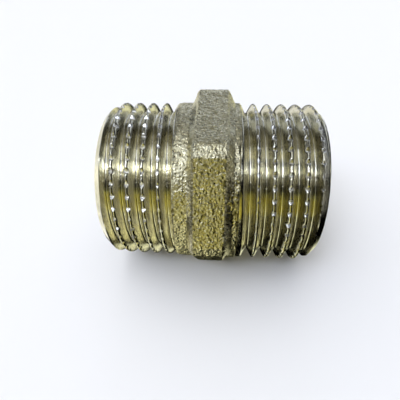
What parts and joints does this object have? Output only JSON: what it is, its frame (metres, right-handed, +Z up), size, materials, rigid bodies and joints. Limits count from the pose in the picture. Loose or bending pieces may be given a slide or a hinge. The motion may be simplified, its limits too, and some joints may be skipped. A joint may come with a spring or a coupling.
{
  "type": "hex nipple",
  "caption": "Short brass pipe nipple: a rounded hexagon between two round shoulders, with a G 1/2 male thread on each end and a plain bore through its length.",
  "frame": {"origin": "on the bore axis, at the middle of the length, which is the centre of the bounding box", "axes": "+X along the bore towards the shorter shoulder, +Z up out of a flat of the hexagon, +Y towards a corner of the hexagon"},
  "size_m": [0.0274, 0.0244, 0.022],
  "materials": {
    "forged_brass": "as forged and blasted, rough and sparkling",
    "turned_brass": "turned, bright, with fine lathe lines and knurled crests"
  },
  "bodies": {
    "root": {"thread_left": "turned_brass", "hexagon_middle": "forged_brass", "thread_right": "turned_brass"}
  },
  "joints": []
}
